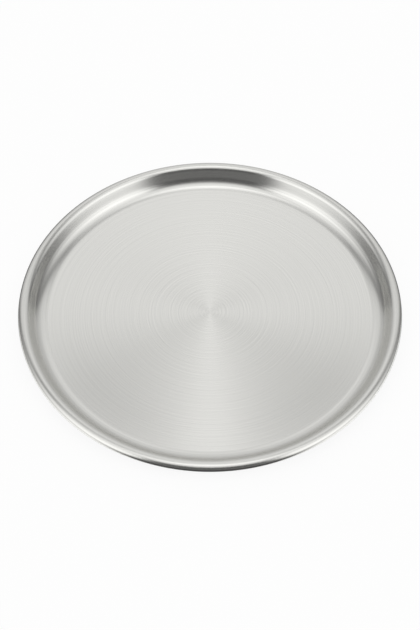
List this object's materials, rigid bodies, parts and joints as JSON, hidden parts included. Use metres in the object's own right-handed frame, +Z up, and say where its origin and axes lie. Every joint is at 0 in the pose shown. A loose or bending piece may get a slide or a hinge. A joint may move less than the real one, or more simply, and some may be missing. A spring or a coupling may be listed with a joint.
{
  "type": "plate",
  "caption": "Round shallow stainless steel plate with a flat brushed floor, a coved edge, a sloping flank and a rounded rim whose edge is rolled over a hoop of wire.",
  "frame": {"origin": "centre of the underside, on the surface that the plate stands on", "axes": "+Z up along the plate's axis, out of the serving face; X and Y lie in the underside and are alike, because the plate is round"},
  "size_m": [0.26, 0.26, 0.011],
  "materials": {
    "stainless_sheet": "floor brushed in circles, cove, flank and rim polished",
    "rim_wire": "drawn steel wire, dull"
  },
  "bodies": {
    "root": {"pressed_plate": "stainless_sheet", "rim_wire": "rim_wire"}
  },
  "joints": []
}
